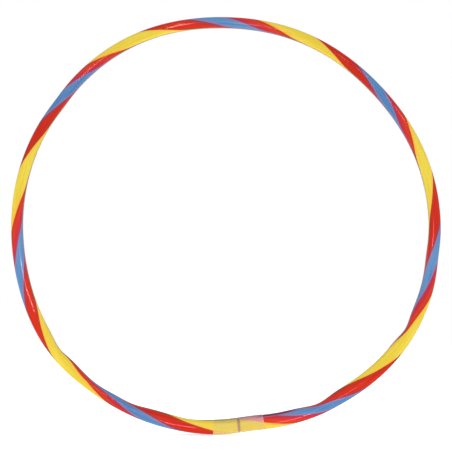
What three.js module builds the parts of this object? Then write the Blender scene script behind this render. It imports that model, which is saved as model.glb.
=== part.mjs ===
// Rhythmic hoop: a thin-walled striped plastic pipe, twisted seven turns along its length, bent round into
// a ring and closed by an internal plug under a clear sleeve.
//
// Millimetres and degrees. The hoop stands upright in the XZ plane, its box centred on the origin, with its
// joint at the bottom and its front facing -Y. Angles along the hoop run from +X towards +Z.

import * as THREE from 'three';

// ---- Driving dimensions ----

const RING_DIAMETER = 729;      // of the pipe's centre line, so the hoop is about 750 across the outside
const PIPE_DIAMETER = 25.4;     // before bending flattens it
const WALL_SHARE = 0.13;        // wall thickness, as a share of the section's radius
const STRIPE_SHARE = 0.06;      // thickness of a coloured stripe, the same way
const STRIPE_GAP_SHARE = 0.01;  // clearance under a stripe
const STRIPE_GAP_ANGLE = 0.6;   // clearance at each long edge of a stripe, round the pipe

// Colours round the pipe, from the edge where yellow ends: red, blue, red, yellow.
const BLUE_FROM = 67;
const BLUE_TO = 143;
const YELLOW_FROM = 238;
const YELLOW_TO = 360;

// Twist of the pipe along the hoop.
const TWISTS = 7;
const FIRST_EDGE_ANGLE = 23.8;  // where the end edge of the yellow stripe first faces the front
const TWIST_DRIFT = 2.5;        // the twist is a little tighter opposite the joint
const DRIFT_ANGLE = 264;

// The section is slightly off centre, in a direction that turns with the twist.
const OFF_CENTRE = 1;
const OFF_CENTRE_ANGLE = 215;

// The joint.
const JOINT_ANGLE = 274;
const JOINT_GAP = 5;            // between the two pipe ends
const COLLAR_WIDTH = 4;         // of the plug's collar, which stands in that gap
const SLEEVE_LENGTH = 92;
const SLEEVE_INSIDE = 1.012;    // sleeve and plug sizes as shares of the pipe's outside
const SLEEVE_OUTSIDE = 1.055;
const PLUG_LENGTH = 70;
const PLUG_SHARE = 0.83;
const PLUG_TIP_SHARE = 0.72;
const PLUG_TIP_LENGTH = 5;
const COLLAR_SHARE = 0.98;

// Bending flattens the pipe in the plane of the hoop and squares its section, less so near the stiff joint.
// The section is a superellipse: a power of 2 is an ellipse, and a higher one is squarer.
const FLATTENING = 0.275;
const ROUNDEST_POWER = 2.6;
const SQUAREST_POWER = 4;
const FLATTENING_SPAN = 70;     // angle from the joint at which half of the flattening is reached

// The stiff joint bends less than the pipe, so the ring is a little out of round: each wave lifts the ring
// by its rise and is lowest at its own angle.
const RING_WAVES = [
  { waves: 2, rise: 5.8, lowest: 264.3 },
  { waves: 3, rise: 3.9, lowest: 280.4 },
  { waves: 4, rise: 1.4, lowest: 272.3 },
];

// Short stretches that bend less than the rest and lie inside the ring's line, and one that lies outside it.
const FLAT_SPOTS = [
  { along: 143.5, depth: 1.6, width: 5.7 },
  { along: 230.7, depth: 3.7, width: 12 },
  { along: 277.6, depth: 4.6, width: 8 },
  { along: 297, depth: -1, width: 5 },
  { along: 351.7, depth: 1.9, width: 5.3 },
];

// The pipe has kinked on the inside of the bend either side of the joint. A depth is a share of the
// section's inner half.
const KINKS = [
  { along: 216.4, depth: 0.38, width: 3.9 },
  { along: 231.2, depth: 0.6, width: 8 },
  { along: 241.6, depth: 0.38, width: 5.4 },
  { along: 259.2, depth: 0.17, width: 4.6 },
  { along: 297.7, depth: 0.42, width: 4.7 },
  { along: 330.5, depth: 0.36, width: 3.4 },
];

const STATIONS = 140;           // sections along the pipe between the two ends of the sleeve
const ARC_STEP = 27;            // widest step between points round the section

// ---- The pipe's shape ----

const sin = (angle) => Math.sin(THREE.MathUtils.degToRad(angle));
const cos = (angle) => Math.cos(THREE.MathUtils.degToRad(angle));

const PIPE_RADIUS = PIPE_DIAMETER / 2;
const RING_RADIUS = RING_DIAMETER / 2;

// The same turn, from -180 to 180.
const signed = (angle) => THREE.MathUtils.euclideanModulo(angle + 180, 360) - 180;

// Angle along the hoop that a length of its centre line takes up.
const angleOf = (length) => THREE.MathUtils.radToDeg(length / RING_RADIUS);

// A smooth hump, 1 at its own place on the hoop and falling away over its width.
const hump = (along, { along: place, width }) => Math.exp(-((signed(along - place) / width) ** 2));

// Distance of the pipe's centre line from the hoop's centre.
function centreRadius(along) {
  const lift = RING_WAVES.reduce((sum, wave) => sum - wave.rise * cos(wave.waves * (along - wave.lowest)), 0);
  const drop = FLAT_SPOTS.reduce((sum, spot) => sum + spot.depth * hump(along, spot), 0);
  return RING_RADIUS + lift - drop;
}

// How much of the flattening is there: 0 at the stiff joint, rising almost to 1 opposite it.
function flatness(along) {
  return 1 - 1 / (1 + (signed(along - JOINT_ANGLE) / FLATTENING_SPAN) ** 4);
}

// What the kinks leave of the section's inner half.
function innerHalf(along) {
  return KINKS.reduce((left, kink) => left * (1 - kink.depth * hump(along, kink)), 1);
}

// Which way a point of the pipe faces: 0 to the front, 90 away from the hoop's centre.
function facing(along, around) {
  const drift = TWIST_DRIFT * sin(along - DRIFT_ANGLE);
  return TWISTS * (along - drift - FIRST_EDGE_ANGLE) - around;
}

// A point of the section, outward in the hoop's plane and forward across it. around is the angle round the
// pipe from the end edge of the yellow stripe, and share the distance from the centre line as a share of
// the section's radius.
function sectionPoint(along, around, share) {
  const turn = facing(along, around);
  const flat = flatness(along);
  const power = THREE.MathUtils.lerp(ROUNDEST_POWER, SQUAREST_POWER, flat);
  const inPlane = Math.abs(sin(turn)) / (PIPE_RADIUS * (1 - FLATTENING * flat));
  const across = Math.abs(cos(turn)) / PIPE_RADIUS;
  const radius = share / (inPlane ** power + across ** power) ** (1 / power);
  const outward = radius * sin(turn);
  return new THREE.Vector2(outward < 0 ? outward * innerHalf(along) : outward, radius * cos(turn));
}

// The same point in the hoop's own frame.
function pipePoint(along, around, share) {
  const { x: outward, y: forward } = sectionPoint(along, around, share);
  const lean = facing(along, OFF_CENTRE_ANGLE);
  const reach = centreRadius(along) + outward + OFF_CENTRE * sin(lean);
  return new THREE.Vector3(reach * cos(along), -forward - OFF_CENTRE * cos(lean), reach * sin(along));
}

// ---- Solids swept along the pipe ----

// Evenly spaced points on an arc of the section.
function arc(from, to, share) {
  const steps = Math.ceil(Math.abs(to - from) / ARC_STEP);
  return Array.from({ length: steps + 1 }, (_, i) => ({ around: from + ((to - from) * i) / steps, share }));
}

// The whole way round, with points at the edges of the colours.
function allRound(share) {
  const edges = [0, BLUE_FROM, BLUE_TO, YELLOW_FROM, YELLOW_TO];
  return edges.slice(1).flatMap((edge, i) => arc(edges[i], edge, share).slice(0, -1));
}

// A hole is a loop that turns the other way.
function hole(share) {
  return allRound(share).reverse();
}

// Two triangles between points i and j of neighbouring sections. The diagonal is always the one that runs
// along the pipe, across the twist, so surfaces that lie on one another have the same facets.
function quad(loop, i, j, here, next) {
  const ahead = signed(loop[j].around - loop[i].around) || loop[i].share - loop[j].share;
  return ahead > 0
    ? [here + i, next + i, next + j, here + i, next + j, here + j]
    : [here + i, next + i, here + j, next + i, next + j, here + j];
}

// Triangles that close an end, all turning the same way round the section.
function cap(loops, along) {
  const flat = loops.map((loop) => loop.map(({ around, share }) => sectionPoint(along, around, share)));
  const points = flat.flat();
  return THREE.ShapeUtils.triangulateShape(flat[0], flat.slice(1)).map((corners) => {
    const turn = THREE.ShapeUtils.area(corners.map((corner) => points[corner]));
    return turn > 0 ? corners : [corners[0], corners[2], corners[1]];
  });
}

// A closed solid: loops holds its contour and then any holes, and stations the sections it passes
// through, each with an angle along the hoop and a scale.
function sweep(loops, stations) {
  const ring = loops.flat();
  const points = stations.flatMap(({ along, scale }) => (
    ring.map(({ around, share }) => pipePoint(along, around, share * scale))
  ));
  const faces = [];
  stations.slice(1).forEach((_, s) => {
    let first = s * ring.length;
    loops.forEach((loop) => {
      const here = first;
      loop.forEach((_, i) => {
        faces.push(...quad(loop, i, (i + 1) % loop.length, here, here + ring.length));
      });
      first += loop.length;
    });
  });
  const last = (stations.length - 1) * ring.length;
  cap(loops, stations[0].along).forEach(([a, b, c]) => faces.push(a, b, c));
  cap(loops, stations.at(-1).along).forEach(([a, b, c]) => faces.push(last + a, last + c, last + b));

  const geometry = new THREE.BufferGeometry().setFromPoints(points);
  geometry.setIndex(faces);
  geometry.computeVertexNormals();
  return geometry;
}

// ---- Stations along the hoop ----

const GAP_HALF = angleOf(JOINT_GAP / 2);
const COLLAR_HALF = angleOf(COLLAR_WIDTH / 2);
const PLUG_HALF = angleOf(PLUG_LENGTH / 2);
const TIP_START = PLUG_HALF - angleOf(PLUG_TIP_LENGTH);
const SLEEVE_HALF = angleOf(SLEEVE_LENGTH / 2);
const PLUG_MIDDLE = (GAP_HALF + TIP_START) / 2;

// Sections that the pipe, the plug and the sleeve share, away from the joint on each side.
const UNDER_SLEEVE = [GAP_HALF, PLUG_MIDDLE, TIP_START, PLUG_HALF, SLEEVE_HALF];

const station = (offset, scale = 1) => ({ along: JOINT_ANGLE + offset, scale });

// From one end of the pipe right round to the other.
function pipeStations() {
  const step = (360 - 2 * SLEEVE_HALF) / STATIONS;
  const start = UNDER_SLEEVE.map((offset) => station(offset));
  const free = Array.from({ length: STATIONS - 1 }, (_, i) => station(SLEEVE_HALF + step * (i + 1)));
  const end = UNDER_SLEEVE.map((offset) => station(360 - offset)).reverse();
  return [...start, ...free, ...end];
}

function sleeveStations() {
  const before = UNDER_SLEEVE.map((offset) => station(-offset)).reverse();
  return [...before, ...UNDER_SLEEVE.map((offset) => station(offset))];
}

function plugStations() {
  const side = [
    [COLLAR_HALF, COLLAR_SHARE],
    [COLLAR_HALF, PLUG_SHARE],
    [GAP_HALF, PLUG_SHARE],
    [PLUG_MIDDLE, PLUG_SHARE],
    [TIP_START, PLUG_SHARE],
    [PLUG_HALF, PLUG_TIP_SHARE],
  ];
  const before = side.map(([offset, share]) => station(-offset, share)).reverse();
  return [...before, ...side.map(([offset, share]) => station(offset, share))];
}

// ---- The pieces ----

// The red pipe, with a channel for each stripe.
function tubeWall() {
  const channel = 1 - STRIPE_SHARE - STRIPE_GAP_SHARE;
  const outside = [
    arc(0, BLUE_FROM, 1),
    arc(BLUE_FROM, BLUE_TO, channel),
    arc(BLUE_TO, YELLOW_FROM, 1),
    arc(YELLOW_FROM, YELLOW_TO, channel),
  ].flat();
  return sweep([outside, hole(1 - WALL_SHARE)], pipeStations());
}

// A coloured stripe, flush with the pipe's outside.
function stripe(from, to) {
  const start = from + STRIPE_GAP_ANGLE;
  const end = to - STRIPE_GAP_ANGLE;
  const section = [...arc(start, end, 1), ...arc(end, start, 1 - STRIPE_SHARE)];
  return sweep([section], pipeStations());
}

// The spigot inside the two pipe ends, with its collar between them.
function jointPlug() {
  return sweep([allRound(1)], plugStations());
}

// The clear sleeve, shrunk over the joint so that it follows the pipe.
function jointSleeve() {
  return sweep([allRound(SLEEVE_OUTSIDE), hole(SLEEVE_INSIDE)], sleeveStations());
}

const PLASTIC = { roughness: 0.3, metalness: 0 };

function piece(name, geometry, finish) {
  const mesh = new THREE.Mesh(geometry, new THREE.MeshStandardMaterial({ ...PLASTIC, ...finish }));
  mesh.name = name;
  return mesh;
}

const hoop = new THREE.Group();
hoop.add(
  piece('tube_wall', tubeWall(), { color: 0xd32d23 }),
  piece('yellow_stripe', stripe(YELLOW_FROM, YELLOW_TO), { color: 0xedd53c }),
  piece('blue_stripe', stripe(BLUE_FROM, BLUE_TO), { color: 0x5a90c8 }),
  piece('joint_plug', jointPlug(), { color: 0x9e7062, roughness: 0.5 }),
  piece('joint_sleeve', jointSleeve(), { color: 0xe9e4e6, roughness: 0.2, transparent: true, opacity: 0.4 }),
);

// The ring is not quite round, so its box is centred last.
hoop.position.copy(new THREE.Box3().setFromObject(hoop).getCenter(new THREE.Vector3()).negate());

export default hoop;
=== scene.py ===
import math

import bpy
import numpy as np
from mathutils import Matrix, Vector


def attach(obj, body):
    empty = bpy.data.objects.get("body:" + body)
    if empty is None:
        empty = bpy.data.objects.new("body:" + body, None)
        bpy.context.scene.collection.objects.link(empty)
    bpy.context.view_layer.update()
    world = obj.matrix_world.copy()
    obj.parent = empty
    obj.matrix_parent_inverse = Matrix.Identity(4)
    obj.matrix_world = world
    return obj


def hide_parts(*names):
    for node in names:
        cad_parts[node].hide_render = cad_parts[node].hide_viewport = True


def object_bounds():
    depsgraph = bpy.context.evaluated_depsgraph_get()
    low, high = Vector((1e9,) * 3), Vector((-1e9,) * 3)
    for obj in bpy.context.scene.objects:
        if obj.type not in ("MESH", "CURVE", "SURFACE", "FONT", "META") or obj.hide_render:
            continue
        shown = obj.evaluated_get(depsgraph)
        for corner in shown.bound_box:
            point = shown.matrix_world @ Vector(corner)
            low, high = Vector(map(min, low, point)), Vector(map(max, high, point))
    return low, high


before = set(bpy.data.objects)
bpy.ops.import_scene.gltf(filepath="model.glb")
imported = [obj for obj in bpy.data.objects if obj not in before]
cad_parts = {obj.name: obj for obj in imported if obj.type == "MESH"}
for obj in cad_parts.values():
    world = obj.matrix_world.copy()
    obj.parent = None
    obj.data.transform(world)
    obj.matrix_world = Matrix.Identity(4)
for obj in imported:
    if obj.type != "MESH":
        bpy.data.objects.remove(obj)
cad_low, cad_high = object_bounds()

# A hoop of thin plastic pipe, striped and twisted. Every CAD node is replaced by a finer mesh of the same
# shape. Shape sizes are millimetres and degrees, shares are parts of the pipe's radius, and the scene is in
# metres. Angles along the hoop run from +X towards +Z, and angles round the pipe start at the edge where
# the yellow stripe ends.
MM = 0.001

RING_RADIUS = 364.5
PIPE_RADIUS = 12.7
WALL_SHARE = 0.13
STRIPE_SHARE = 0.06
STRIPE_GAP_SHARE = 0.01
STRIPE_GAP_ANGLE = 0.3

BLUE_FROM = 67
BLUE_TO = 143
YELLOW_FROM = 238
YELLOW_TO = 360

# FIRST_EDGE_ANGLE is where along the hoop the yellow stripe's end faces the front. The twist drifts a
# little ahead of an even one on half of the ring, and behind it on the other half.
TWISTS = 7
FIRST_EDGE_ANGLE = 23.8
TWIST_DRIFT = 2.5
DRIFT_ANGLE = 264

# The section is slightly off centre, in a direction that turns with the twist.
OFF_CENTRE = 1.0
OFF_CENTRE_ANGLE = 215

JOINT_ANGLE = 274.0
JOINT_GAP = 5
COLLAR_WIDTH = 4
SLEEVE_LENGTH = 92
SLEEVE_INSIDE_SHARE = 1.012
SLEEVE_OUTSIDE_SHARE = 1.055
SLEEVE_LIP = 1.5
SLEEVE_LIP_THINNING = 0.8
PLUG_LENGTH = 70
PLUG_SHARE = 0.83
PLUG_TIP_SHARE = 0.72
PLUG_TIP_LENGTH = 5
COLLAR_SHARE = 0.98
COLLAR_FLAT = 0.8
COLLAR_EDGE_SHARE = COLLAR_SHARE * 0.985

# The section is roundest at the joint, and flatter and squarer away from it.
FLATTENING = 0.275
ROUNDEST_POWER = 2.6
SQUAREST_POWER = 4
FLATTENING_SPAN = 70

# waves round the ring, rise, angle where it is lowest
RING_WAVES = [(2, 5.8, 264.3), (3, 3.9, 280.4), (4, 1.4, 272.3)]
# place along the hoop, depth, width
FLAT_SPOTS = [
    (143.5, 1.6, 5.7),
    (230.7, 3.7, 12.0),
    (277.6, 4.6, 8.0),
    (297.0, -1.0, 5.0),
    (351.7, 1.9, 5.3),
]
# place along the hoop, share of the inner half that is dented in, width
KINKS = [
    (216.4, 0.38, 3.9),
    (231.2, 0.60, 8.0),
    (241.6, 0.38, 5.4),
    (259.2, 0.17, 4.6),
    (297.7, 0.42, 4.7),
    (330.5, 0.36, 3.4),
]

# The inside of the bend is creased beside the joint. The reach is round the pipe.
CREASE_PLACE = 285.5
CREASE_WIDTH = 6.0
CREASE_FACES = -56.0
CREASE_REACH = 9.0
CREASE_DEPTH = 0.8

STATION_STEP = 0.5
FINE_STEP = 0.25
AROUND_STEP = 3.0
SHARP_ANGLE = 40


# ---- Shape ----

def sin(angle):
    return np.sin(np.radians(angle))


def cos(angle):
    return np.cos(np.radians(angle))


def signed(angle):
    return np.mod(np.asarray(angle) + 180.0, 360.0) - 180.0


def angle_of(length):
    return math.degrees(length / RING_RADIUS)


def hump(along, place, width):
    return np.exp(-((signed(along - place) / width) ** 2))


def centre_radius(along):
    radius = RING_RADIUS
    for waves, rise, lowest in RING_WAVES:
        radius = radius - rise * cos(waves * (along - lowest))
    for place, depth, width in FLAT_SPOTS:
        radius = radius - depth * hump(along, place, width)
    return radius


def flatness(along):
    return 1 - 1 / (1 + (signed(along - JOINT_ANGLE) / FLATTENING_SPAN) ** 4)


def inner_half(along):
    left = 1.0
    for place, depth, width in KINKS:
        left = left * (1 - depth * hump(along, place, width))
    return left


def facing(along, around):
    drift = TWIST_DRIFT * sin(along - DRIFT_ANGLE)
    return TWISTS * (along - drift - FIRST_EDGE_ANGLE) - around


def pipe_points(along, around, share):
    """Points in mm about the middle of the ring, for arrays that broadcast against one another."""
    turn = facing(along, around)
    flat = flatness(along)
    power = ROUNDEST_POWER + (SQUAREST_POWER - ROUNDEST_POWER) * flat
    in_plane = np.abs(sin(turn)) / (PIPE_RADIUS * (1 - FLATTENING * flat))
    across = np.abs(cos(turn)) / PIPE_RADIUS
    radius = share / (in_plane**power + across**power) ** (1 / power)
    groove = hump(along, CREASE_PLACE, CREASE_WIDTH) * hump(turn, CREASE_FACES, CREASE_REACH)
    radius = radius * (1 - CREASE_DEPTH / PIPE_RADIUS * groove)
    outward = radius * sin(turn)
    outward = np.where(outward < 0, outward * inner_half(along), outward)
    lean = facing(along, OFF_CENTRE_ANGLE)
    reach = centre_radius(along) + outward + OFF_CENTRE * sin(lean)
    forward = radius * cos(turn) + OFF_CENTRE * cos(lean)
    return np.stack([reach * cos(along), -forward, reach * sin(along)], axis=-1)


# ---- Meshes ----

def arc(start, end, share):
    steps = max(1, math.ceil(abs(end - start) / AROUND_STEP))
    return [(angle, share) for angle in np.linspace(start, end, steps + 1)]


def all_round(share):
    """Its ends all but meet, and the swept mesh joins them."""
    return arc(0, 359.9, share)


def stations_between(start, end):
    """Angles along the hoop, closer together near the kinks."""
    places = [start]
    while places[-1] < end:
        near = max(float(hump(places[-1], place, 2 * width)) for place, _, width in KINKS)
        places.append(places[-1] + STATION_STEP + (FINE_STEP - STATION_STEP) * near)
    places[-1] = end
    return places


def swept_shell(name, stations, outside, inside, closed):
    """A wall between two curves of the section that have equally many points, swept along the hoop.

    A station is an angle along the hoop, or a pair of that and a scale for the outside. A closed wall goes
    the whole way round the pipe, and otherwise it has two long edges.
    """
    places = np.array([s if isinstance(s, tuple) else (s, 1.0) for s in stations])
    curve = np.array(outside + inside)
    count, half = len(curve), len(outside)
    along = places[:, :1]
    around = curve[:, 0][None, :]
    share = np.repeat(curve[:, 1][None, :], len(places), axis=0)
    share[:, :half] *= places[:, 1:]

    faces = []
    steps = half if closed else half - 1
    for s in range(len(places) - 1):
        here, there = s * count, (s + 1) * count
        for i in range(steps):
            j = (i + 1) % half
            faces.append((here + i, there + i, there + j, here + j))
            faces.append((here + half + j, there + half + j, there + half + i, here + half + i))
        if not closed:
            e = half - 1
            faces.append((here + e, there + e, there + half + e, here + half + e))
            faces.append((here + half, there + half, there, here))
    last = (len(places) - 1) * count
    for i in range(steps):
        j = (i + 1) % half
        faces.append((i, j, half + j, half + i))
        faces.append((last + half + i, last + half + j, last + j, last + i))
    return make_object(name, faces, along, around, share)


def swept_solid(name, stations, outside):
    """A solid inside one curve of the section. A station is an angle along the hoop and a scale."""
    places = np.array(stations, float)
    curve = np.array(outside)
    count = len(curve)
    along = places[:, :1]
    around = curve[:, 0][None, :]
    share = curve[:, 1][None, :] * places[:, 1:]

    faces = []
    for s in range(len(places) - 1):
        here, there = s * count, (s + 1) * count
        for i in range(count):
            j = (i + 1) % count
            faces.append((here + i, there + i, there + j, here + j))
    last = (len(places) - 1) * count
    faces.append(tuple(range(count)))
    faces.append(tuple(last + i for i in reversed(range(count))))
    return make_object(name, faces, along, around, share)


def make_object(name, faces, along, around, share):
    points = pipe_points(along, around, share).reshape(-1, 3)
    mesh = bpy.data.meshes.new(name)
    mesh.from_pydata((points * MM).tolist(), [], faces)
    mesh.validate()
    # Textures run along a straight pipe, whose third axis is its length in mm. On one such pipe the first
    # axis turns with the twist, and on the other it is always to the front and the second outward.
    length = np.radians(along) * RING_RADIUS
    across = share * PIPE_RADIUS
    for straight_pipe, angle in (("twisted_pipe", around), ("plain_pipe", facing(along, around))):
        values = np.stack(np.broadcast_arrays(across * cos(angle), across * sin(angle), length), axis=-1)
        store(mesh, straight_pipe, values.reshape(-1, 3))
    from_joint = np.abs(signed(along - JOINT_ANGLE))
    for measure, values in (("around", around), ("along", along), ("from_joint", from_joint)):
        store(mesh, measure, np.broadcast_to(values, share.shape).reshape(-1))
    for polygon in mesh.polygons:
        polygon.use_smooth = True
    mesh.set_sharp_from_angle(angle=math.radians(SHARP_ANGLE))
    obj = bpy.data.objects.new(name, mesh)
    bpy.context.scene.collection.objects.link(obj)
    return obj


def store(mesh, name, values):
    kind, field = ("FLOAT_VECTOR", "vector") if values.ndim == 2 else ("FLOAT", "value")
    attribute = mesh.attributes.new(name, kind, "POINT")
    attribute.data.foreach_set(field, values.astype(np.float32).ravel())


# ---- Pieces ----

GAP_HALF = angle_of(JOINT_GAP / 2)
SLEEVE_HALF = angle_of(SLEEVE_LENGTH / 2)
PIPE_STATIONS = stations_between(JOINT_ANGLE + GAP_HALF, JOINT_ANGLE + 360 - GAP_HALF)
CHANNEL = 1 - STRIPE_SHARE - STRIPE_GAP_SHARE


def make_pipe():
    outside = (
        arc(0, BLUE_FROM, 1)
        + arc(BLUE_FROM, BLUE_TO, CHANNEL)
        + arc(BLUE_TO, YELLOW_FROM, 1)
        + arc(YELLOW_FROM, YELLOW_TO, CHANNEL)
    )
    inside = [(angle, 1 - WALL_SHARE) for angle in np.linspace(0, 360, len(outside) + 1)[:-1]]
    return swept_shell("pipe", PIPE_STATIONS, outside, inside, True)


def make_stripe(name, start, end):
    start, end = start + STRIPE_GAP_ANGLE, end - STRIPE_GAP_ANGLE
    return swept_shell(name, PIPE_STATIONS, arc(start, end, 1), arc(start, end, 1 - STRIPE_SHARE), False)


def make_plug():
    collar = angle_of(COLLAR_WIDTH / 2)
    tip = angle_of(PLUG_LENGTH / 2)
    tip_start = tip - angle_of(PLUG_TIP_LENGTH)
    side = [(collar * COLLAR_FLAT, COLLAR_SHARE), (collar, COLLAR_EDGE_SHARE), (collar, PLUG_SHARE)]
    side += [(offset, PLUG_SHARE) for offset in np.linspace(collar, tip_start, 8)[1:]]
    side += [(tip, PLUG_TIP_SHARE)]
    before = [(JOINT_ANGLE - offset, share) for offset, share in reversed(side)]
    after = [(JOINT_ANGLE + offset, share) for offset, share in side]
    return swept_solid("plug", before + after, all_round(1))


def make_sleeve():
    lip = angle_of(SLEEVE_LIP)
    thinning = SLEEVE_LIP_THINNING * (1 - SLEEVE_INSIDE_SHARE / SLEEVE_OUTSIDE_SHARE)
    lips = [(SLEEVE_HALF - lip * t, 1 - thinning * (1 - t) ** 2) for t in (0, 0.3, 0.6)]
    middle = [(offset, 1.0) for offset in np.linspace(SLEEVE_HALF - lip, STATION_STEP, 22)]
    before = [(JOINT_ANGLE - offset, scale) for offset, scale in lips + middle]
    after = [(JOINT_ANGLE + offset, scale) for offset, scale in reversed(lips + middle)]
    outside, inside = all_round(SLEEVE_OUTSIDE_SHARE), all_round(SLEEVE_INSIDE_SHARE)
    return swept_shell("sleeve", before + after, outside, inside, True)


# ---- Materials ----

class Graph:
    """A short way to write a tree of shader nodes."""

    def __init__(self, tree):
        self.tree = tree
        tree.nodes.clear()

    def node(self, kind, inputs=(), **settings):
        made = self.tree.nodes.new("ShaderNode" + kind)
        for name, value in settings.items():
            setattr(made, name, value)
        for key, value in dict(inputs).items():
            socket = made.inputs[key]
            if isinstance(value, bpy.types.NodeSocket):
                self.tree.links.new(value, socket)
            else:
                socket.default_value = value
        return made

    def measure(self, name):
        """A number that the mesh holds at each of its points."""
        return self.node("Attribute", attribute_name=name).outputs["Fac"]

    def math(self, operation, a, b=0.0):
        return self.node("Math", {0: a, 1: b}, operation=operation).outputs[0]

    def times(self, *factors):
        product = factors[0]
        for factor in factors[1:]:
            product = self.math("MULTIPLY", product, factor)
        return product

    def smooth(self, value, low, high, to_low=0.0, to_high=1.0):
        made = self.node(
            "MapRange",
            {"Value": value, "From Min": low, "From Max": high, "To Min": to_low, "To Max": to_high},
            interpolation_type="SMOOTHSTEP",
        )
        return made.outputs["Result"]

    def mix(self, factor, a, b):
        return self.node("Mix", {0: factor, 6: a, 7: b}, data_type="RGBA").outputs[2]

    def noise(self, scale, stretch=(1, 1, 1), detail=2.0, space="twisted_pipe"):
        """Noise over a straight pipe. scale is in features per mm."""
        vector = self.node("Attribute", attribute_name=space).outputs["Vector"]
        mapped = self.node("Mapping", {"Vector": vector, "Scale": stretch})
        made = self.node("TexNoise", {"Vector": mapped.outputs[0], "Scale": scale, "Detail": detail})
        return made.outputs["Fac"]

    def bump(self, strength, distance, height, under=None):
        """Relief that is distance high in metres, on top of another relief if there is one."""
        inputs = {"Strength": strength, "Distance": distance, "Height": height}
        if under:
            inputs["Normal"] = under
        return self.node("Bump", inputs).outputs[0]

    def outward(self):
        """How far a point is outward of the pipe's centre line, in mm."""
        vector = self.node("Attribute", attribute_name="plain_pipe").outputs["Vector"]
        return self.node("SeparateXYZ", {"Vector": vector}).outputs["Y"]

    def inner_side(self):
        return self.smooth(self.outward(), -0.6 * PIPE_RADIUS, -0.4 * PIPE_RADIUS, 1.0, 0.0)

    def turned_away(self, low, high):
        """0 where the surface faces the camera, and 1 where it is seen edge on."""
        return self.smooth(self.node("LayerWeight", {"Blend": 0.5}).outputs["Facing"], low, high)

    def near(self, value, place, reach, fall):
        """1 within reach of a place, falling to 0 over fall."""
        distance = self.math("ABSOLUTE", self.math("SUBTRACT", value, place))
        return self.smooth(distance, reach, reach + fall, 1.0, 0.0)

    def finish(self, shader, output="OutputMaterial"):
        self.node(output, {"Surface": shader.outputs[0]})


def new_material(name):
    material = bpy.data.materials.new(name)
    material.use_nodes = True
    return material, Graph(material.node_tree)


def colour(red, green, blue):
    """A colour as a screen shows it, 0 to 255, as the linear colour that nodes use."""
    def linear(value):
        value /= 255
        return value / 12.92 if value <= 0.04045 else ((value + 0.055) / 1.055) ** 2.4
    return (linear(red), linear(green), linear(blue), 1.0)


ORANGE = colour(255, 172, 70)
SHADE_OLIVE = colour(150, 130, 84)
BROWN = colour(150, 70, 20)
RUST = colour(196, 96, 36)
CORAL = colour(222, 70, 44)
RIM_SHADE_UMBER = colour(60, 24, 8)
SHADE_MAROON = colour(104, 18, 44)
CRIMSON = colour(200, 38, 84)
PLUM = colour(116, 66, 100)
SHADE_PURPLE = colour(140, 84, 128)
ORCHID = colour(178, 106, 138)
HIGHLIGHT_LILAC = colour(216, 130, 176)
MILKY_PINK_AND_SHEEN = colour(226, 174, 184)
MILKY_STRAW = colour(222, 196, 96)
MILKY_YELLOW = colour(218, 200, 100)
MILKY_BLUE = colour(176, 186, 204)


def film_lines(g):
    """Noise in fine lines along the film over the joint."""
    return g.noise(0.35, (1, 1, 0.01), 2.0, "plain_pipe")


def mottled(g, base, dark, light):
    """The plain plastic, blotched along the twist and streaked along the pipe."""
    mottle = g.noise(0.03, (1, 1, 0.25), 3.0)
    drawn = g.noise(0.3, (1, 1, 0.04), 2.0, "plain_pipe")
    tone = g.smooth(g.math("ADD", mottle, drawn), 0.75, 1.25)
    return g.mix(0.6, base, g.mix(tone, dark, light))


def faded(g, shade, fades, there):
    """Tints that fall off on both sides of a place round the pipe."""
    around = g.measure("around")
    for place, reach, tint, strength in fades:
        shade = g.mix(g.times(g.near(around, place, 0, reach), there, strength), shade, tint)
    return shade


def filmed(g, shade, films, there):
    """Tints between two places round the pipe, with soft edges."""
    around = g.measure("around")
    soft = 6
    for start, end, tint, strength in films:
        here = g.times(g.smooth(around, start, start + soft), g.smooth(around, end - soft, end, 1.0, 0.0))
        shade = g.mix(g.times(here, there, strength), shade, tint)
    return shade


def painted_light_by_joint(g, shade):
    """Painted shade and highlight: the inner rim is painted darker on both sides of the sleeve, the flank
    beside the crease is painted maroon as shade, and the crease's lip has a painted pale lilac highlight.
    """
    # Painted shade: the inner rim goes olive on both sides of the sleeve.
    rim = g.times(g.inner_side(), g.turned_away(0.39, 0.7), g.near(g.measure("from_joint"), 0, 9, 4))
    shade = g.mix(rim, shade, SHADE_OLIVE)
    by_crease = g.near(g.measure("along"), CREASE_PLACE, 3, 5)
    # Painted shade: the inner flank beside the crease goes maroon.
    shaded_flank = g.times(g.inner_side(), g.turned_away(0.2, 0.34), by_crease, 0.9)
    shade = g.mix(shaded_flank, shade, SHADE_MAROON)
    # Painted highlight: a pale lilac line along the crease's lip.
    lip = g.times(g.near(g.outward(), -0.72 * PIPE_RADIUS, 0.3, 0.7), by_crease, 0.6)
    return g.mix(lip, shade, HIGHLIGHT_LILAC)


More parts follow.
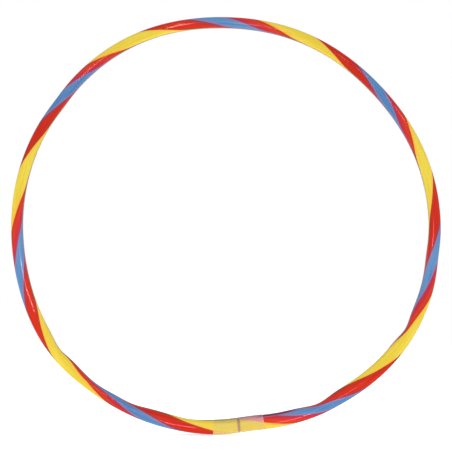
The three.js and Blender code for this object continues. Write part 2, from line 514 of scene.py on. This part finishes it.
def plastic(name, base, dark, light, fades=(), rim_shades=(), films=(), end_films=()):
    """Glossy plastic, tinted near some places round the pipe.

    A fade is (place, reach, tint, strength), and a rim shade is a fade that shows only where the pipe turns
    away: painted shade towards the outline.
    A film is (start, end, tint, strength): how the plastic looks through the milky sleeve, between two
    places. An end film is only on the pipe's last end.
    """
    material, g = new_material(name)
    shade = mottled(g, base, dark, light)
    shade = faded(g, shade, fades, 1.0)
    # Painted shade: the rim shades darken the plastic where the pipe turns away towards its outline.
    shade = faded(g, shade, rim_shades, g.turned_away(0.2, 0.7))

    wrapped = g.near(g.measure("from_joint"), 0, SLEEVE_HALF, 0.1)
    milk = g.times(wrapped, g.smooth(film_lines(g), 0.35, 0.65, 0.75, 1.0))
    last_end = g.math("GREATER_THAN", g.measure("along"), JOINT_ANGLE + 180)
    shade = filmed(g, shade, films, milk)
    shade = filmed(g, shade, end_films, g.times(milk, last_end))
    shade = painted_light_by_joint(g, shade)

    scuffs = g.smooth(g.noise(0.1, (1, 1, 0.2), 3.0), 0.5, 0.75)
    grain = g.bump(0.08, 0.000004, g.noise(3.0))
    dents = g.bump(0.2, 0.00003, g.noise(0.06, (1, 1, 0.3)), under=grain)
    shader = g.node(
        "BsdfPrincipled",
        {
            "Base Color": shade,
            "Roughness": g.math("ADD", g.times(scuffs, 0.015), 0.095),
            "Normal": dents,
            "Subsurface Weight": 0.12,
            "Subsurface Radius": (0.004, 0.002, 0.001),
            "Subsurface Scale": 0.5,
        },
    )
    g.finish(shader)
    return material


def sleeve_film(name):
    """Clear film with fine lines along it, that darkens where it is seen edge on, with painted shade along
    its inner rim and a painted highlight along its last edge.
    """
    material, g = new_material(name)
    along = g.measure("along")
    outward = g.outward()
    lines = film_lines(g)
    outer_rim = g.times(g.smooth(outward, 0, 0.5 * PIPE_RADIUS), g.turned_away(0.6, 0.9))
    # Painted shade: olive turning to purple along the film's inner rim.
    painted_inner_shade = g.times(g.inner_side(), g.turned_away(0.34, 0.68))
    # Painted highlight: a pale pink line along the sleeve's last edge.
    last_edge = g.near(along, JOINT_ANGLE + SLEEVE_HALF, 0.15, 0.25)
    painted_edge_highlight = g.times(last_edge, g.smooth(outward, -6, 4, 1.0, 0.3))

    shade = g.mix(g.smooth(lines, 0.35, 0.65), colour(236, 222, 160), colour(250, 244, 214))
    alpha = g.smooth(lines, 0.4, 0.7, 0.02, 0.06)
    for mask, tint, amount in (
        (outer_rim, colour(200, 188, 140), 0.5),
        (painted_inner_shade, g.mix(g.smooth(along, 268, 276), SHADE_OLIVE, SHADE_PURPLE), 0.7),
        (painted_edge_highlight, colour(244, 206, 206), 0.35),
    ):
        shade = g.mix(mask, shade, tint)
        alpha = g.math("MAXIMUM", alpha, g.times(mask, amount))
    # Only the outside shows, or light would meet the film twice on its way through.
    outside = g.math("SUBTRACT", 1.0, g.node("NewGeometry").outputs["Backfacing"])
    shader = g.node(
        "BsdfPrincipled",
        {
            "Base Color": shade,
            "Roughness": 0.28,
            "Alpha": g.times(alpha, outside),
            "Normal": g.bump(0.2, 0.00002, lines),
        },
    )
    g.finish(shader)
    return material


red = plastic(
    "red_plastic",
    colour(202, 34, 6),
    colour(187, 20, 2),
    colour(217, 48, 14),
    fades=[
        (24, 30, CORAL, 0.5),
        (BLUE_FROM, 44, CRIMSON, 0.6),
        (BLUE_FROM, 14, PLUM, 0.7),
        (BLUE_TO, 18, PLUM, 0.85),
        (YELLOW_FROM, 16, BROWN, 0.7),
        (0, 9, RUST, 0.7),
    ],
    # Painted shade: dark umber on the red where it turns away beside the yellow stripe.
    rim_shades=[(YELLOW_FROM, 60, RIM_SHADE_UMBER, 0.8), (0, 50, RIM_SHADE_UMBER, 0.8)],
    # The red seen through the milky sleeve, partly lightened pink by a painted reflection of a lamp on the
    # sleeve.
    films=[(-10, 244, MILKY_PINK_AND_SHEEN, 0.86)],
    end_films=[(140, 244, MILKY_STRAW, 0.95)],
)
yellow = plastic(
    "yellow_plastic",
    colour(232, 207, 64),
    colour(224, 194, 46),
    colour(240, 218, 82),
    fades=[(YELLOW_TO, 26, ORANGE, 0.6), (YELLOW_FROM, 15, ORANGE, 1.0)],
    films=[(232, 366, MILKY_YELLOW, 0.8)],
)
blue = plastic(
    "blue_plastic",
    colour(84, 135, 188),
    colour(66, 119, 180),
    colour(102, 151, 198),
    fades=[(BLUE_FROM, 14, ORCHID, 0.8), (BLUE_TO, 18, ORCHID, 0.7)],
    films=[(60, 150, MILKY_BLUE, 0.6)],
)
brown = plastic("plug_plastic", colour(190, 154, 120), colour(178, 142, 110), colour(202, 166, 130))

film = sleeve_film("clear_sleeve")

# piece, the CAD node that it replaces, slot, material
PIECES = [
    (make_pipe(), "tube_wall", "red_plastic", red),
    (make_stripe("yellow_band", YELLOW_FROM, YELLOW_TO), "yellow_stripe", "yellow_plastic", yellow),
    (make_stripe("blue_band", BLUE_FROM, BLUE_TO), "blue_stripe", "blue_plastic", blue),
    (make_plug(), "joint_plug", "plug_plastic", brown),
    (make_sleeve(), "joint_sleeve", "clear_sleeve", film),
]

# The pieces' common box goes where the CAD's is.
centre = (cad_low + cad_high) / 2
corners = np.concatenate([np.array([v.co for v in piece.data.vertices]) for piece, *_ in PIECES])
shift = centre - (Vector(corners.min(0)) + Vector(corners.max(0))) / 2
for piece, node, slot, material in PIECES:
    piece.location = shift
    piece.data.materials.append(material)
    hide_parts(node)
    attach(piece, "root")


# ---- Camera ----

CAMERA_DISTANCE = 2.8
CAMERA_SHIFT = 0.00015
VIEW_WIDTH = 0.7978   # at the hoop


def make_camera():
    data = bpy.data.cameras.new("camera")
    data.sensor_width = 36
    data.lens = data.sensor_width * CAMERA_DISTANCE / VIEW_WIDTH
    camera = bpy.data.objects.new("camera", data)
    camera.location = centre + Vector((CAMERA_SHIFT, -CAMERA_DISTANCE, 0))
    camera.rotation_euler = (math.radians(90), 0, 0)
    bpy.context.scene.collection.objects.link(camera)
    return camera


bpy.context.scene.camera = make_camera()


# ---- Lamps ----

WHITE = (1, 1, 1)
PINK = (1, 0.45, 0.45)
ROSE = (1, 0.25, 0.4)

SOFT_SIZE = 1.6
SOFT_POWER = 1.5
SOFT_RADIUS = 2.2
SOFT_FORWARD = 2.0

STREAK_DISTANCE = 0.8
STREAK_SPREAD = 30
# along the hoop, span, tilt, width, brightness, tint
STREAKS = [
    (33, 7, 3.2, 0.040, 0.8, PINK),
    (46, 6, 2.0, 0.040, 0.3, WHITE),
    (55, 6, 1.0, 0.040, 0.4, PINK),
    (80, 8, -1.5, 0.040, 0.6, PINK),
    (102, 10, 0.0, 0.008, 3.0, PINK),
    (130, 5, -0.5, 0.020, 1.0, PINK),
    (187, 8, -5.5, 0.009, 14.0, WHITE),
    (199, 13, -5.0, 0.009, 24.0, PINK),
    (235, 7, -1.0, 0.030, 1.0, PINK),
    (256, 13, 2.5, 0.010, 9.0, ROSE),
    (287, 9, 5.5, 0.016, 9.0, ROSE),
    (303, 9, 0.0, 0.016, 1.5, ROSE),
    (353, 12, -4.5, 0.009, 9.0, PINK),
]


def around_hoop(along, radius, forward):
    return Vector((radius * cos(along), -forward, radius * sin(along)))


def area_light(name, place, aim, length, width, power, spread=180, side=(1, 0, 0), tint=WHITE):
    """A lamp whose length lies along side. Its places are in metres from the hoop's centre."""
    data = bpy.data.lights.new(name, "AREA")
    data.shape = "RECTANGLE"
    data.size, data.size_y = length, width
    data.energy = power
    data.color = tint
    data.spread = math.radians(spread)
    light = bpy.data.objects.new(name, data)
    back = (Vector(place) - Vector(aim)).normalized()
    up = back.cross(Vector(side)).normalized()
    light.rotation_euler = Matrix((up.cross(back), up, back)).transposed().to_euler()
    light.location = centre + Vector(place)
    light.visible_camera = False
    bpy.context.scene.collection.objects.link(light)


def soft_light(name, along):
    place = around_hoop(along, SOFT_RADIUS, SOFT_FORWARD)
    area_light(name, place, (0, 0, 0), SOFT_SIZE, SOFT_SIZE, SOFT_POWER)


def streak_light(name, along, span, tilt, width, brightness, tint):
    """A narrow strip that is mirrored in the pipe as a streak, over a span of the hoop.

    The streak runs where the pipe's surface is tilted outward by tilt, so the strip stands twice that far
    off the line from the camera, which itself sees the pipe from inside the ring's line.
    """
    ring = RING_RADIUS * MM
    slope = math.radians(2 * tilt) + ring / CAMERA_DISTANCE
    radius = ring + STREAK_DISTANCE * math.tan(slope)
    length = radius * math.radians(span)
    place, aim = around_hoop(along, radius, STREAK_DISTANCE), around_hoop(along, ring, 0)
    power = brightness * length * width
    area_light(name, place, aim, length, width, power, STREAK_SPREAD, around_hoop(along + 90, 1, 0), tint)


for i, streak in enumerate(STREAKS):
    streak_light(f"streak_{i}", *streak)
soft_light("key", 140)
soft_light("fill", 20)


# ---- Floor and background ----

FLOOR_SIZE = 4.0
FLOOR_GLOW = 0.5
LIGHT_STRENGTH = 0.88
MIRRORED_SHARE = 0.4


def floor_paper():
    material, g = new_material("floor_paper")
    fibres = g.node("TexNoise", {"Scale": 40.0}).outputs["Fac"]
    paper = g.mix(fibres, colour(248, 247, 244), colour(253, 252, 250))
    glow = {"Emission Color": (1, 1, 1, 1), "Emission Strength": FLOOR_GLOW}
    g.finish(g.node("BsdfPrincipled", {"Base Color": paper, "Roughness": 0.8, **glow}))
    return material


def make_floor():
    """A pale sheet under the hoop, bright enough to run into the white background."""
    mesh = bpy.data.meshes.new("floor")
    corner = FLOOR_SIZE / 2
    outline = [(-corner, -corner, 0), (corner, -corner, 0), (corner, corner, 0), (-corner, corner, 0)]
    mesh.from_pydata(outline, [], [(0, 1, 2, 3)])
    mesh.materials.append(floor_paper())
    floor = bpy.data.objects.new("floor", mesh)
    floor.location = (centre.x, centre.y, cad_low.z)
    floor.visible_shadow = False
    floor.visible_glossy = False
    bpy.context.scene.collection.objects.link(floor)
    return floor


def make_studio():
    """A white background that lights the hoop a little less than it shows, and mirrors dimly in it."""
    world = bpy.data.worlds.new("studio")
    world.use_nodes = True
    g = Graph(world.node_tree)
    path = g.node("LightPath").outputs
    seen = g.smooth(path["Is Camera Ray"], 0, 1, LIGHT_STRENGTH, 1.0)
    mirrored = g.smooth(path["Is Glossy Ray"], 0, 1, 1.0, MIRRORED_SHARE)
    white = g.node("Background", {"Color": (1, 1, 1, 1), "Strength": g.times(seen, mirrored)})
    g.finish(white, "OutputWorld")
    return world


make_floor()
bpy.context.scene.world = make_studio()
bpy.context.scene.view_settings.view_transform = "Standard"
